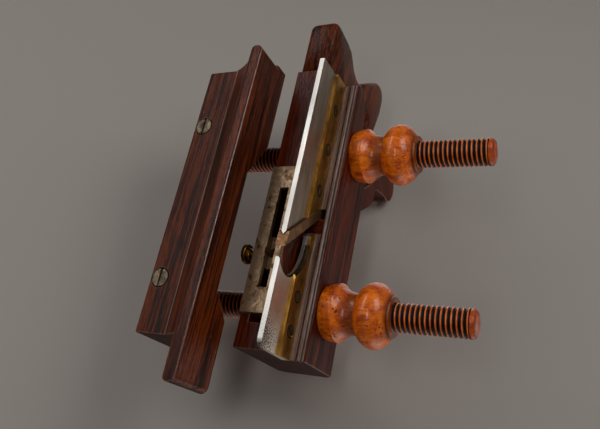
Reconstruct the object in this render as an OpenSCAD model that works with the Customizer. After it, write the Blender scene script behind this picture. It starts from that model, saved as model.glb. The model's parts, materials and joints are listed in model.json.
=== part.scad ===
// Screw-arm plough plane of rosewood, with boxwood nuts, a steel skate and a brass-bound escapement.
// Upright on its sole: +X points to the nuts, +Y to the toe and +Z up.
// The origin lies on the sole, at the middle of the skate's thickness and of the stock's length.

/* [Stock] */
// Length of the stock and of the skate, from heel to toe
stock_length = 203.6; // [186:0.2:230]
// From the middle of the skate to the left face, on the fence's side
stock_left = 25.2; // [22:0.1:32]
// From the middle of the skate to the right face, on the nuts' side
stock_right = 14.9; // [12:0.1:22]
// Height of the wood's bottom face over the sole
stock_bottom = 12.7; // [11:0.1:15]
// Height of the wood's top face over the sole
stock_top = 79.5; // [76:0.5:90]
// Height of the moulded underside of the right cheek over the sole
cheek_bottom = 35; // [33:0.1:37]
// Chamfer along the top edges
top_chamfer = 3.5; // [1:0.1:5]
// Height of the seat that is cut for the tote
tote_seat = 42; // [38:0.5:46]
// Length of the seat that is cut for the tote
tote_seat_l = 32.8; // [29:0.2:34]

/* [Skate] */
// Thickness of the steel plate
skate_thick = 3.6; // [3:0.1:4.5]
// From the middle back edge of the mouth to the middle of the stock
bed_y = 29.4; // [25:0.1:35]
// Angle of the bed over the sole
bed_angle = 48; // [45:0.5:52]
// Height of the ridge that the iron's groove rides on
ridge_h = 1.2; // [0.8:0.1:1.6]
// Radius of the skate's lower corner at the toe
skate_toe_r = 5; // [2:0.5:10]
// Thickness of the brass plates
plate_thick = 2.1; // [1.6:0.1:2.6]
// Height of the brass plates' lower edge over the sole
plate_bottom = 20.2; // [18:0.1:24]
// Height of the screws that hold the plates
plate_screw_z = 28.3; // [26:0.1:31]
// Head of a plate screw, across
plate_screw_head_d = 8.4; // [6:0.1:10]
// Shank of a plate screw, across
plate_screw_d = 4; // [3:0.1:5]
// Length of a plate screw
plate_screw_l = 11; // [9:0.5:12]
// From the stock's heel end to the rear plate's first screw
plate_screw_heel = 25.8; // [20:0.1:32]
// From the stock's toe end to the front plate's last screw
plate_screw_toe = 16.7; // [12:0.1:20]
// From the bed to the rear plate's last screw
plate_screw_bed = 16.9; // [12:0.1:20]
// From the arch to the front plate's first screw
plate_screw_arch = 9; // [7:0.1:11]

/* [Throat] */
// Middle of the escapement's arch, from the middle of the stock
arch_y = 26; // [22:0.5:30]
// Height of the middle of the escapement's arch
arch_z = 12; // [10:0.5:14]
// Reach of the arch towards the toe
arch_reach = 27.3; // [24:0.1:32]
// Rise of the arch over its middle
arch_rise = 17.6; // [15:0.1:19]
// Left side of the mortise, from the middle of the skate
mortise_left = 5.9; // [5:0.1:7]
// Right side of the mortise, from the middle of the skate
mortise_right = 8.7; // [7:0.1:10]
// Front of the mortise at the cheek's underside
mortise_front = 15.8; // [14:0.1:20]
// Angle of the mortise's front wall over the sole
mortise_angle = 53; // [51:0.5:57]
// Depth of the hollow behind the escapement
hollow_depth = 3.6; // [2:0.1:4]

/* [Iron and wedge] */
// Width of the iron
iron_w = 8; // [5:0.1:10]
// Thickness of the iron at its cutting end
iron_thick = 6.8; // [5:0.1:7.5]
// Thickness of the iron at its top
iron_thick_top = 3.6; // [3:0.1:5]
// Length of the iron
iron_l = 200; // [180:1:215]
// How far the cutting edge stands out of the sole
iron_set = 0.7; // [0:0.1:1.2]
// Height of the bevel's back edge over the sole
bevel_heel = 0.9; // [0.4:0.1:3]
// Height of the wedge's shoulder over the sole
wedge_shoulder = 106; // [98:1:112]
// Radius of the notch behind the wedge's shoulder
wedge_notch_r = 8; // [5:0.5:10]
// Radius of the wedge's finial
wedge_finial_r = 12.5; // [9:0.5:14]

/* [Tote] */
// From the stock's heel end back to the tip of the tote's horn
tote_reach = 51.6; // [48:0.2:56]
// Height of the tote's top over the sole
tote_top_z = 119.5; // [116:0.5:124]
// Thickness of the tote
tote_thick = 22; // [18:0.2:23]
// Rounding of the grip's edges
tote_round = 4.5; // [3:0.5:5]

/* [Arms] */
// Diameter of an arm over its thread
arm_d = 19.05; // [16:0.05:22]
// Height of the arms over the sole
arm_z = 53.6; // [50:0.1:58]
// Pitch of the arms' thread
arm_pitch = 3.175; // [2.8:0.005:4]
// Depth of that thread
arm_thread_depth = 1.5; // [1:0.1:1.7]
// From the tote's shoulder forward to the rear arm
arm_rear_inset = 16.3; // [13:0.1:18]
// From the stock's toe end back to the front arm
arm_front_inset = 38; // [34:0.1:40]
// From the middle of the skate to the arms' outer ends
arm_reach = 113.3; // [100:0.1:125]
// Height of the domed end
arm_dome_h = 3; // [1:0.1:5]
// Length of the plain button that ends the thread
arm_button_l = 5.2; // [4:0.1:8]

/* [Nuts] */
// Radius of a nut where it bears on the stock
nut_base_r = 17.7; // [15:0.1:20]
// Radius of the nut's ridge
nut_ridge_r = 19.4; // [17.8:0.1:21]
// Length of the nut's base, as far as the ridge's edge
nut_base_l = 9.5; // [8:0.1:12]
// Radius of the nut's neck
nut_neck_r = 13.8; // [12:0.1:15]
// Radius of the nut's ball
nut_ball_r = 21.4; // [19:0.1:24]
// Half of the ball's width along the arm
nut_ball_half = 14; // [12:0.1:16]
// Middle of the ball, from the stock's face
nut_ball_x = 33.3; // [30:0.1:37]
// Radius of the collar at the nut's end
nut_collar_r = 13.2; // [11.5:0.1:14]
// Length of the collar
nut_collar_l = 2; // [1:0.1:4]
// Radius of a lock nut
lock_nut_r = 17; // [14:0.1:19]
// Length of a lock nut
lock_nut_l = 10.8; // [8:0.1:14]

/* [Fence] */
// From the middle of the skate to the working face
fence_face_x = 34.4; // [28:0.1:45]
// Depth of the working face's lower edge below the sole
fence_drop = 24.5; // [20:0.1:30]
// Height of the ears' top over the sole
ear_top = 11.9; // [9:0.1:12.2]
// Depth below the sole of the relief that clears the depth stop
relief_drop = 4.1; // [1:0.1:7]
// Thickness of the leg along its lower edge
leg_thick = 9.6; // [8:0.1:14]
// From the working face to the inner edge of the ledge
ledge_inner = 35.3; // [32:0.1:42]
// Width of the ledge's underside
ledge_w = 24.6; // [20:0.1:30]
// Height of the ledge's underside over the sole
ledge_z = 1; // [0:0.1:4]
// How far the fence's block reaches up past the arms' underside
arm_seat = 2.4; // [1:0.1:4]
// From the stock's heel end forward to the fence's
fence_heel_inset = 2.2; // [-8:0.1:8]
// From the stock's toe end back to the ledge's
ledge_toe_inset = 0.4; // [-12:0.1:6]
// How far the leg runs past the stock's toe end
leg_over = 30.8; // [20:0.1:42]
// Head of a fence bolt, across
bolt_head_d = 13.6; // [10:0.1:16]
// Thickness of a bolt's head
bolt_head_t = 2.8; // [2:0.1:4]
// Shank of a fence bolt, across
bolt_d = 6.35; // [5:0.05:8]
// From the ledge's outer face to the bolts
bolt_inset = 8.1; // [8:0.1:12]

/* [Depth stop] */
// Heel end of the shoe
shoe_heel_y = -21.8; // [-26:0.1:-18]
// From the stock's toe end back to the shoe's
shoe_toe_inset = 21.8; // [20:0.1:25]
// Height of the shoe's face over the sole
shoe_z = 8.7; // [7.5:0.1:9.5]
// Thickness of the shoe
shoe_thick = 3.7; // [2.5:0.1:3.8]
// From the middle of the skate to the shoe's outer edge
shoe_left = 24; // [22:0.1:25]
// Clearance between the shoe and the side of the iron or the skate
shoe_gap = 0.6; // [0.4:0.1:1]
// Heel end of the shoe's slot
slot_heel_y = -5.7; // [-10:0.1:0]
// Length of the shoe past the slot's toe end
shoe_end_l = 16.8; // [14:0.1:18]
// Outer side of the slot, from the middle of the skate
slot_left = 15.2; // [14:0.1:17]
// Inner side of the slot, from the middle of the skate
slot_right = 8.6; // [8:0.1:10]
// Length of the carriage along the stock
carriage_l = 22; // [16:0.5:26]
// Height of the carriage's top over the sole
carriage_top = 35; // [30:0.5:36]
// Middle of the adjusting screw, from the middle of the stock
stop_screw_y = 38.5; // [34:0.1:42]
// Adjusting screw, across its thread
stop_screw_d = 6.35; // [5:0.05:7]
// Thumb head of the adjusting screw, across
stop_head_d = 17; // [12:0.1:22]
// Height of that head
stop_head_h = 6.5; // [4:0.1:10]
// Length of the plate let into the stock's top
top_plate_l = 52; // [40:0.5:60]
// Width of that plate
top_plate_w = 14; // [12:0.5:18]
// Thickness of that plate
top_plate_t = 2; // [1.5:0.1:3]
// Height of the lock screw's axis over the sole
lock_screw_z = 18.6; // [17:0.1:24]
// Lock screw, across its thread
lock_screw_d = 4.8; // [4:0.1:6]
// Disc of the lock screw's head, across
lock_disc_d = 13.4; // [10:0.1:16]
// Thickness of that disc
lock_disc_t = 3; // [2.4:0.1:5]
// From the stock's left face to the disc
lock_neck_l = 7.6; // [6:0.1:11]

/* [Hidden] */

half = stock_length / 2;
skate_x = skate_thick / 2;
plate_x = skate_x + plate_thick;
seat_gap = 0.1;      // a screw in its hole
thread_gap = 0.06;   // an arm in a nut
arm_gap = 0.4;       // an arm in the stock
slide_gap = 0.4;     // the carriage in its mortise
wedge_gap = 0.15;    // the wedge in its mortise
over = 1;            // a cut runs past the face by this
fine = 96;

bed_slope = 1 / tan(bed_angle);
front_slope = 1 / tan(mortise_angle);
arm_r = arm_d / 2;
fence_left = fence_face_x + ledge_inner + ledge_w;
block_right = fence_face_x + ledge_inner;
block_top = arm_z - arm_r + arm_seat;
bolt_x = fence_left - bolt_inset;
bolt_tip_z = arm_z + arm_r * 0.6;
stop_screw_x = (slot_left + slot_right) / 2 + 1;
carriage_left = slot_left + 2.7;
carriage_right = slot_right - 0.5;
lock_end = carriage_left + 0.3;
tote_shoulder = half - tote_seat_l;
arm_rear_y = arm_rear_inset - tote_shoulder;
arm_front_y = half - arm_front_inset;
fence_heel_y = fence_heel_inset - half;
ledge_toe_y = half - ledge_toe_inset;
leg_toe_y = half + leg_over;
shoe_toe_y = half - shoe_toe_inset;
slot_toe_y = shoe_toe_y - shoe_end_l;
shoe_right = max(skate_x, iron_w / 2) + shoe_gap;
plate_rear_first = plate_screw_heel - half;
plate_rear_last = bed_y - plate_screw_z * bed_slope - plate_screw_bed;
plate_screws_rear_y = [for (i = [0:2]) plate_rear_first + (plate_rear_last - plate_rear_first) * i / 2];
plate_screws_front_y = [arch_y + arch_reach + plate_screw_arch, half - plate_screw_toe];

// The bed's own frame: Z runs up the bed and Y stands off it, from the back of the mouth
module on_bed() {
    translate([0, bed_y, 0]) rotate([90 - bed_angle, 0, 0]) children();
}

// A side outline in Y and Z, given thickness from x0 to x1
module side(x0, x1) {
    translate([x0, 0, 0]) rotate([90, 0, 90]) linear_extrude(x1 - x0) children();
}

// A section in X and Z, drawn out along the stock from y0 to y1
module along(y0, y1) {
    translate([0, y1, 0]) rotate([90, 0, 0]) linear_extrude(y1 - y0) children();
}

// A turned form about an arm's axis, its outline given as distance along the arm and radius
module turned(x, y, dir) {
    translate([x, y, arm_z]) rotate([0, 90 * dir, 0]) rotate_extrude($fn = fine) children();
}

module rod_x(x0, x1, y, z, d) {
    translate([x0, y, z]) rotate([0, 90, 0]) cylinder(d = d, h = x1 - x0, $fn = fine);
}

function arc(cx, cy, r, a0, a1, n) = [for (i = [0:n]) let (a = a0 + (a1 - a0) * i / n)
    [cx + r * cos(a), cy + r * sin(a)]];

function oval(cx, cy, rx, ry, a0, a1, n) = [for (i = [0:n]) let (a = a0 + (a1 - a0) * i / n)
    [cx + rx * cos(a), cy + ry * sin(a)]];

function bed_line(z) = bed_y - z * bed_slope;
function front_line(z) = mortise_front - (z - cheek_bottom) * front_slope;

// Stock

bead_r = 1.5;
bead_x = stock_right - 5.1;
quirk_w = 0.6;
quirk_h = 0.9;
cheek_round = 2.2;

// The cheek's underside: a flat, then a bead between two quirks, and the rounded arris
function cheek_moulding() = concat(
    [[-skate_x, cheek_bottom], [bead_x - bead_r - quirk_w, cheek_bottom],
     [bead_x - bead_r - quirk_w, cheek_bottom + quirk_h], [bead_x - bead_r, cheek_bottom + quirk_h]],
    arc(bead_x, cheek_bottom + 0.4, bead_r, 180, 360, 10),
    [[bead_x + bead_r, cheek_bottom + quirk_h], [bead_x + bead_r + quirk_w, cheek_bottom + quirk_h]],
    arc(stock_right - cheek_round, cheek_bottom + cheek_round - 0.9, cheek_round, 250, 360, 8));

module stock_section() {
    polygon(concat(
        [[-stock_left, stock_bottom], [-skate_x, stock_bottom]],
        cheek_moulding(),
        [[stock_right, stock_top - top_chamfer], [stock_right - top_chamfer, stock_top],
         [-stock_left + top_chamfer, stock_top], [-stock_left, stock_top - top_chamfer]]));
}

// The right cheek sweeps down to the heel in an ogee
ogee_r = 16;
module cheek_outline() {
    polygon(concat(
        [[half, 0], [half, stock_top + over], [-tote_shoulder, stock_top + over],
         [-tote_shoulder, cheek_bottom + 2 * ogee_r]],
        arc(-tote_shoulder - ogee_r * 0.9, cheek_bottom + 2.1 * ogee_r, ogee_r * 0.9, 0, -80, 12),
        arc(-tote_shoulder - ogee_r * 0.9, cheek_bottom + ogee_r * 0.15, ogee_r * 1.02, 80, 165, 12),
        [[-half, cheek_bottom], [-half, 0]]));
}

module tapered_mortise() {
    deep = stock_top + over;
    side(-mortise_left, mortise_right) polygon([
        [bed_line(cheek_bottom), cheek_bottom], [front_line(cheek_bottom), cheek_bottom],
        [front_line(deep), deep], [bed_line(deep), deep]]);
    // Run for the iron's overhang, down through the rabbet's wall
    side(-iron_w / 2 - 0.3, -skate_x + over) polygon([
        [bed_line(0), 0], [bed_line(0) + iron_thick / sin(bed_angle) + 5, 0],
        [front_line(cheek_bottom), cheek_bottom + over], [bed_line(cheek_bottom + over), cheek_bottom + over]]);
}

// Shallow hollow in the rabbet's wall, which turns the shavings out
module shaving_hollow() {
    half_w = arch_reach - 9;
    r = (half_w * half_w + hollow_depth * hollow_depth) / (2 * hollow_depth);
    translate([-skate_x - hollow_depth + r, arch_y + 6.5, stock_bottom - over])
        cylinder(r = r, h = cheek_bottom - stock_bottom + over, $fn = 180);
}

module stop_mortise() {
    translate([-carriage_left - slide_gap, slot_heel_y - 4, stock_bottom - over])
        cube([carriage_left - carriage_right + 2 * slide_gap, shoe_toe_y + 5 - slot_heel_y + 4,
              carriage_top + 3 - stock_bottom + over]);
    translate([-stop_screw_x, stop_screw_y, 0]) cylinder(d = stop_screw_d + 0.8, h = stock_top, $fn = fine);
    translate([-stop_screw_x, stop_screw_y, stock_top - top_plate_t - collar_t - 0.2])
        cylinder(d = collar_d + 0.8, h = top_plate_t + collar_t + over, $fn = fine);
}

module stock() {
    color("#4a2018") difference() {
        union() {
            intersection() {
                along(-half, half) stock_section();
                side(-stock_left - over, -skate_x) union() {
                    translate([-tote_shoulder, 0]) square([half + tote_shoulder, stock_top + over]);
                    translate([-half, 0]) square([half, tote_seat]);
                }
            }
            intersection() {
                along(-half, half) stock_section();
                side(-skate_x, stock_right + over) cheek_outline();
            }
        }
        tapered_mortise();
        intersection() {
            shaving_hollow();
            translate([-mortise_left, 0, 0]) cube([mortise_left, half, cheek_bottom]);
        }
        stop_mortise();
        top_plate_body(0.05);
        for (s = top_plate_screw_spots) translate([-stop_screw_x, s, 0])
            cylinder(d = top_screw_d + 2 * seat_gap, h = stock_top, $fn = fine);
        for (y = [arm_rear_y, arm_front_y])
            rod_x(-stock_left - over, stock_right + over, y, arm_z, arm_d + 2 * arm_gap);
        for (y = concat(plate_screws_rear_y, plate_screws_front_y))
            rod_x(plate_x - plate_screw_l - seat_gap, 0, y, plate_screw_z, plate_screw_d + 2 * seat_gap);
        rod_x(-stock_left - over, -carriage_left, stop_screw_y, lock_screw_z, bush_d + 0.1);
    }
}

// Tote: a closed grip whose foot is flush with the stock's underside

tote_right = skate_x + 0.1;
tote_lap = tote_round + 0.5;  // the outline runs on below the seat, where it is cut away

// The tote is drawn from the stock's heel end and its underside, and then brought to its reach and height
tote_drawn = [51.6, 106.8];
tote_h = tote_top_z - stock_bottom;
function tote_at(p) = [p[0] * tote_reach / tote_drawn[0] - half, p[1] * tote_h / tote_drawn[1] + stock_bottom];
function tote_line(points) = [for (p = points) tote_at(p)];

// Back edge from the heel up to the web, round the horn, and down the top to the front post
function tote_back() = concat(
    arc(-37.7, 7, 7, 270, 178, 6), [[-44.2, 13.3], [-43.2, 23.3], [-40.8, 33.3]],
    arc(-46.5, 54.8, 19.5, -32, 28, 8));
function tote_horn() = concat([[-32.7, 65.8]], arc(-39.6, 94.8, 12, 212, 95, 10));
function tote_top() = [[-27.2, 105.9], [-10.2, 101.1], [4.8, 95.1]];
function tote_post() = [[17.8, 87.3], [26.8, 79.9], [32.8, 73.8], [46.8, 59.5]];

function tote_outline() = concat(
    tote_line(concat(tote_top(), tote_post())),
    [[tote_at([46.8, 0])[0], tote_seat - tote_lap], [-half + tote_lap, tote_seat - tote_lap],
     [-half + tote_lap, stock_bottom]],
    tote_line(concat(tote_back(), tote_horn())));

// Hand hole: it follows the web at the back and the post in front
function hand_hole() = tote_line(concat(
    arc(17.3, 42.3, 6, 0, -90, 5), arc(-2.2, 42.3, 6.5, -90, -185, 6),
    arc(-19.7, 55.8, 20.2, -20, 24, 6),
    arc(-5.5, 76.5, 6, 200, 80, 6), arc(17.3, 64.8, 6, 60, 0, 4)));

// Moves the sides of a clockwise outline inwards by d
function inset(line, d) = [for (i = [0:len(line) - 1]) let (
    before = line[i] - line[(i + len(line) - 1) % len(line)],
    after = line[(i + 1) % len(line)] - line[i],
    u = before / norm(before),
    v = after / norm(after)) line[i] + [u[1] + v[1], -u[0] - v[0]] * d / (1 + u * v)];

// A solid through clockwise outlines in Y and Z, each given as its X and its points, from low X to high
module skinned(rings) {
    n = len(rings[0][1]);
    top = len(rings) - 1;
    polyhedron(
        points = [for (ring = rings) each [for (p = ring[1]) [ring[0], p[0], p[1]]]],
        faces = concat(
            [[for (i = [n - 1:-1:0]) i]],
            [for (j = [0:top - 1]) for (i = [0:n - 1]) let (k = (i + 1) % n)
                each [[j * n + i, j * n + k, j * n + n + k], [j * n + i, j * n + n + k, j * n + n + i]]],
            [[for (i = [0:n - 1]) top * n + i]]));
}

// The rounded edges as steps of a quarter circle: how far in from the face, and how far in from the side
round_steps = [for (a = [0:22.5:90]) [1 - cos(a), 1 - sin(a)] * tote_round];

module tote() {
    left = -tote_right - tote_thick;
    color("#5a2a1c") difference() {
        intersection() {
            skinned(concat(
                [for (s = round_steps) [left + s[0], inset(tote_outline(), s[1])]],
                [for (i = [4:-1:0]) [-tote_right - round_steps[i][0], inset(tote_outline(), round_steps[i][1])]]));
            side(left - over, -tote_right + over) tote_clear();
        }
        skinned(concat(
            [[left - over, inset(hand_hole(), -tote_round)]],
            [for (s = round_steps) [left + s[0], inset(hand_hole(), -s[1])]],
            [for (i = [4:-1:0]) [-tote_right - round_steps[i][0], inset(hand_hole(), -round_steps[i][1])]],
            [[-tote_right + over, inset(hand_hole(), -tote_round)]]));
    }
}

module tote_clear() {
    difference() {
        translate([-half - tote_reach - over, stock_bottom])
            square([tote_reach + tote_seat_l + over, tote_top_z]);
        translate([-half, 0]) square([half, tote_seat]);
    }
}

// Skate and its plates

// The escapement's arch, as an opening in the side of the skate
module arch_outline() {
    polygon(concat([[arch_y, -over]],
        [[arch_y + arch_reach * sqrt(1 - pow((arch_z + over) / arch_rise, 2)), -over]],
        oval(arch_y, arch_z, arch_reach, arch_rise, -asin(arch_z / arch_rise), 90, 22),
        [[bed_line(cheek_bottom), arch_z + arch_rise], [bed_line(cheek_bottom), -over]]));
}

module front_outline(bottom) {
    difference() {
        polygon(concat(
            bottom > 0 ? [[half, bottom]] : arc(half - skate_toe_r, skate_toe_r, skate_toe_r, 0, -90, 10),
            [[front_line(bottom), bottom], [front_line(cheek_bottom), cheek_bottom], [half, cheek_bottom]]));
        arch_outline();
    }
}

module rear_outline(bottom) {
    polygon([[-half, bottom], [bed_line(bottom), bottom], [bed_line(cheek_bottom), cheek_bottom],
             [-half, cheek_bottom]]);
}

module plate_screw_holes(ys, head) {
    for (y = ys) {
        rod_x(-skate_x - over, plate_x + over, y, plate_screw_z, plate_screw_d + 2 * seat_gap);
        if (head) countersink(y);
    }
}

module countersink(y) {
    translate([plate_x - screw_head_t, y, plate_screw_z]) rotate([0, 90, 0])
        cylinder(d1 = plate_screw_d + 2 * seat_gap, d2 = plate_screw_head_d + 2 * seat_gap, h = screw_head_t,
            $fn = fine);
}

module skate_front() {
    color("#b9b6b0") difference() {
        side(-skate_x, skate_x) front_outline(0);
        plate_screw_holes(plate_screws_front_y, true);
    }
}

// The rear skate's leading edge is dressed to a ridge that the iron's groove rides on
module skate_rear() {
    color("#b9b6b0") difference() {
        union() {
            side(-skate_x, skate_x) rear_outline(0);
            intersection() {
                side(-skate_x, skate_x) polygon([
                    [0, 0], [bed_y + ridge_h * 2, 0], [bed_line(cheek_bottom) + ridge_h * 2, cheek_bottom],
                    [-20, cheek_bottom]]);
                on_bed() translate([0, 0, -10]) linear_extrude(90)
                    polygon([[-skate_x, -ridge_h], [skate_x, -ridge_h], [skate_x, ridge_h - skate_x],
                             [0, ridge_h], [-skate_x, ridge_h - skate_x]]);
            }
        }
        on_bed() for (s = [-1, 1]) translate([s * skate_x, ridge_h - skate_x, -10])
            linear_extrude(90) polygon([[0, 0], [-s * skate_x, skate_x], [0, skate_x + over], [s * over, over],
                [s * over, 0]]);
        plate_screw_holes(plate_screws_rear_y, true);
    }
}

module plate_front() {
    color("#b08d3e") difference() {
        side(skate_x, plate_x) front_outline(plate_bottom);
        plate_screw_holes(plate_screws_front_y, true);
    }
}

module plate_rear() {
    color("#b08d3e") difference() {
        side(skate_x, plate_x) rear_outline(plate_bottom);
        plate_screw_holes(plate_screws_rear_y, true);
    }
}

screw_head_t = 2.6;
screw_slot_w = 1.1;
screw_slot_depth = 0.9;

// A countersunk slotted screw whose head lies flush with the plate
module plate_screw(y, turn) {
    difference() {
        union() {
            rod_x(plate_x - plate_screw_l, plate_x - screw_head_t, y, plate_screw_z, plate_screw_d);
            translate([plate_x - screw_head_t, y, plate_screw_z]) rotate([0, 90, 0])
                cylinder(d1 = plate_screw_d, d2 = plate_screw_head_d, h = screw_head_t, $fn = fine);
        }
        translate([plate_x, y, plate_screw_z]) rotate([turn, 0, 0])
            cube([2 * screw_slot_depth, plate_screw_head_d + over, screw_slot_w], center = true);
    }
}

module plate_screws_front() {
    color("#8d7b4a") for (i = [0:1]) plate_screw(plate_screws_front_y[i], 20 + 35 * i);
}

module plate_screws_rear() {
    color("#8d7b4a") for (i = [0:2]) plate_screw(plate_screws_rear_y[i], 70 - 40 * i);
}

// Iron and wedge

edge_u = -(iron_set + iron_thick * cos(bed_angle)) / sin(bed_angle);
iron_top_u = edge_u + iron_l;
groove_gap = 0.15;

// How far the iron's face stands off the bed, a distance u up the bed
function iron_face(u) = iron_thick - (iron_thick - iron_thick_top) * (u - edge_u) / iron_l;

// A point given up and off the bed, as Y and Z of the plane
function from_bed(u, v) = [bed_y - u * cos(bed_angle) + v * sin(bed_angle),
                           u * sin(bed_angle) + v * cos(bed_angle)];

// The face of the iron at a height over the sole, plus a gap
function face_at(z, gap) = let (u = (z - 5 * cos(bed_angle)) / sin(bed_angle)) from_bed(u, iron_face(u) + gap);

module iron() {
    color("#8b8178") difference() {
        intersection() {
            side(-iron_w / 2, iron_w / 2) polygon([
                from_bed(bevel_heel / sin(bed_angle), 0), from_bed(edge_u, iron_thick),
                from_bed(iron_top_u, iron_thick_top), from_bed(iron_top_u, 0)]);
            // Top corners are cut back
            on_bed() translate([0, 20, 0]) rotate([90, 0, 0]) linear_extrude(40) polygon([
                [-iron_w / 2, edge_u - over], [iron_w / 2, edge_u - over], [iron_w / 2, iron_top_u - 3],
                [iron_w / 2 - 3, iron_top_u], [3 - iron_w / 2, iron_top_u], [-iron_w / 2, iron_top_u - 3]]);
        }
        on_bed() translate([0, 0, edge_u - over]) linear_extrude(iron_l + 2 * over)
            polygon([[0, ridge_h + groove_gap], [ridge_h + groove_gap + over, -over],
                     [-ridge_h - groove_gap - over, -over]]);
    }
}

wedge_x0 = -mortise_left + wedge_gap + 0.1;
wedge_x1 = mortise_right - wedge_gap - 0.1;
wedge_foot = cheek_bottom + 0.6;
wedge_notch = [11, 12];     // from the shoulder back and up to the notch's middle
wedge_finial = [33, 31];    // from the shoulder back and up to the finial's middle

// Side of the wedge: foot, front, shoulder, notch, finial and back along the iron's face
module wedge_outline() {
    shoulder = [front_line(wedge_shoulder) - wedge_gap, wedge_shoulder];
    finial = [shoulder[0] - wedge_finial[0], shoulder[1] + wedge_finial[1]];
    polygon(concat(
        [face_at(wedge_foot, 0.05), [front_line(wedge_foot) - wedge_gap, wedge_foot], shoulder],
        arc(shoulder[0] - wedge_notch[0], shoulder[1] + wedge_notch[1], wedge_notch_r, -60, -185, 10),
        arc(finial[0], finial[1], wedge_finial_r, -20, 120, 14),
        [face_at(finial[1] + 4, 0.05)]));
}

module wedge() {
    color("#5a2a1c") side(wedge_x0, wedge_x1) wedge_outline();
}

// Depth stop

module depth_stop() {
    color("#8f8a80") difference() {
        union() {
            difference() {
                translate([-shoe_left, shoe_heel_y, shoe_z])
                    cube([shoe_left - shoe_right, shoe_toe_y - shoe_heel_y, shoe_thick]);
                translate([-slot_left, slot_heel_y, shoe_z - over])
                    cube([slot_left - slot_right, slot_toe_y - slot_heel_y, shoe_thick + 2 * over]);
            }
            // Carriage round the adjusting screw
            translate([-carriage_left, stop_screw_y - carriage_l / 2, shoe_z + shoe_thick])
                cube([carriage_left - carriage_right, carriage_l, carriage_top - shoe_z - shoe_thick]);
            // Rib that keeps the toe end square in the mortise
            translate([-carriage_left, slot_toe_y + 2, shoe_z + shoe_thick])
                cube([carriage_left - carriage_right, shoe_toe_y - slot_toe_y - 2, 10]);
        }
        translate([-stop_screw_x, stop_screw_y, 0])
            cylinder(d = stop_screw_d + 2 * thread_gap, h = carriage_top + over, $fn = fine);
        // The slot runs on into the carriage, which hangs from its outer wall
        translate([-slot_left, slot_heel_y, shoe_z + shoe_thick])
            cube([slot_left, slot_toe_y - slot_heel_y, boss_rise]);
    }
}

boss_rise = 2.2;
collar_d = 10;
collar_t = 2;

module stop_screw() {
    color("#b08d3e") translate([-stop_screw_x, stop_screw_y, 0]) {
        translate([0, 0, stock_bottom + 5])
            cylinder(d = stop_screw_d, h = stock_top - stock_bottom - 5, $fn = fine);
        translate([0, 0, stock_top - top_plate_t - collar_t - 0.05])
            cylinder(d = collar_d, h = collar_t, $fn = fine);
        translate([0, 0, stock_top + 0.2]) rotate_extrude($fn = fine) polygon(concat(
            [[0, 0], [stop_screw_d / 2 + 2, 0], [stop_screw_d / 2 + 2, 1.2], [stop_head_d / 2 - 1, 1.2]],
            arc(stop_head_d / 2 - 1, 2.2, 1, -90, 0, 4),
            arc(stop_head_d / 2 - 1, stop_head_h - 1, 1, 0, 90, 4),
            [[0, stop_head_h]]));
        translate([0, 0, stock_top - 0.2]) cylinder(d = stop_screw_d, h = 1, $fn = fine);
    }
}

top_screw_d = 3.2;
top_screw_head_d = 6;
top_screw_l = 11;
top_plate_screw_spots = [stop_screw_y - top_plate_l / 2 + 8, stop_screw_y + top_plate_l / 2 - 8];

// Plate with round ends, let in flush with the stock's top
module top_plate_body(gap) {
    r = top_plate_w / 2;
    translate([-stop_screw_x, 0, stock_top - top_plate_t]) linear_extrude(top_plate_t + (gap > 0 ? over : 0)) {
        translate([-r - gap, stop_screw_y - top_plate_l / 2 + r]) square([2 * (r + gap), top_plate_l - 2 * r]);
        for (s = [-1, 1]) translate([0, stop_screw_y + s * (top_plate_l / 2 - r)]) circle(r + gap, $fn = fine);
    }
}

module stop_top_plate() {
    color("#b08d3e") difference() {
        top_plate_body(0);
        translate([-stop_screw_x, stop_screw_y, 0])
            cylinder(d = stop_screw_d + 2 * thread_gap, h = stock_top + over, $fn = fine);
        for (s = top_plate_screw_spots) translate([-stop_screw_x, s, stock_top - top_plate_t]) {
            translate([0, 0, -over])
                cylinder(d = top_screw_d + 2 * seat_gap, h = top_plate_t + 2 * over, $fn = fine);
            cylinder(d1 = top_screw_d + 2 * seat_gap, d2 = top_screw_head_d + 2 * seat_gap, h = top_plate_t,
                $fn = fine);
        }
    }
}

module top_plate_screws() {
    color("#8d7b4a") for (s = top_plate_screw_spots) translate([-stop_screw_x, s, stock_top]) difference() {
        union() {
            translate([0, 0, -top_screw_l]) cylinder(d = top_screw_d, h = top_screw_l - 1, $fn = fine);
            translate([0, 0, -top_plate_t])
                cylinder(d1 = top_screw_d, d2 = top_screw_head_d, h = top_plate_t, $fn = fine);
        }
        cube([1, top_screw_head_d + over, 1.4], center = true);
    }
}

bush_d = 9;

// Threaded bush in the stock's left wall
module lock_bush() {
    color("#b08d3e") difference() {
        rod_x(-stock_left, -carriage_left - slide_gap - 0.2, stop_screw_y, lock_screw_z, bush_d);
        rod_x(-stock_left - over, -carriage_left, stop_screw_y, lock_screw_z, lock_screw_d + 2 * thread_gap);
    }
}

module lock_screw() {
    neck = stock_left + lock_neck_l;
    color("#c09a45") translate([0, stop_screw_y, lock_screw_z]) rotate([0, -90, 0]) rotate_extrude($fn = fine)
        polygon(concat(
            [[0, lock_end], [lock_screw_d / 2, lock_end], [lock_screw_d / 2, neck - 3],
             [lock_screw_d / 2 + 1.6, neck - 1.4], [lock_screw_d / 2 + 1.6, neck]],
            arc(lock_disc_d / 2 - 0.8, neck + 0.8, 0.8, -90, 0, 4),
            arc(lock_disc_d / 2 - 0.8, neck + lock_disc_t - 0.8, 0.8, 0, 90, 4),
            [[3.4, neck + lock_disc_t], [2.6, neck + lock_disc_t + 1.6], [0, neck + lock_disc_t + 2]]));
}

// Fence

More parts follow.
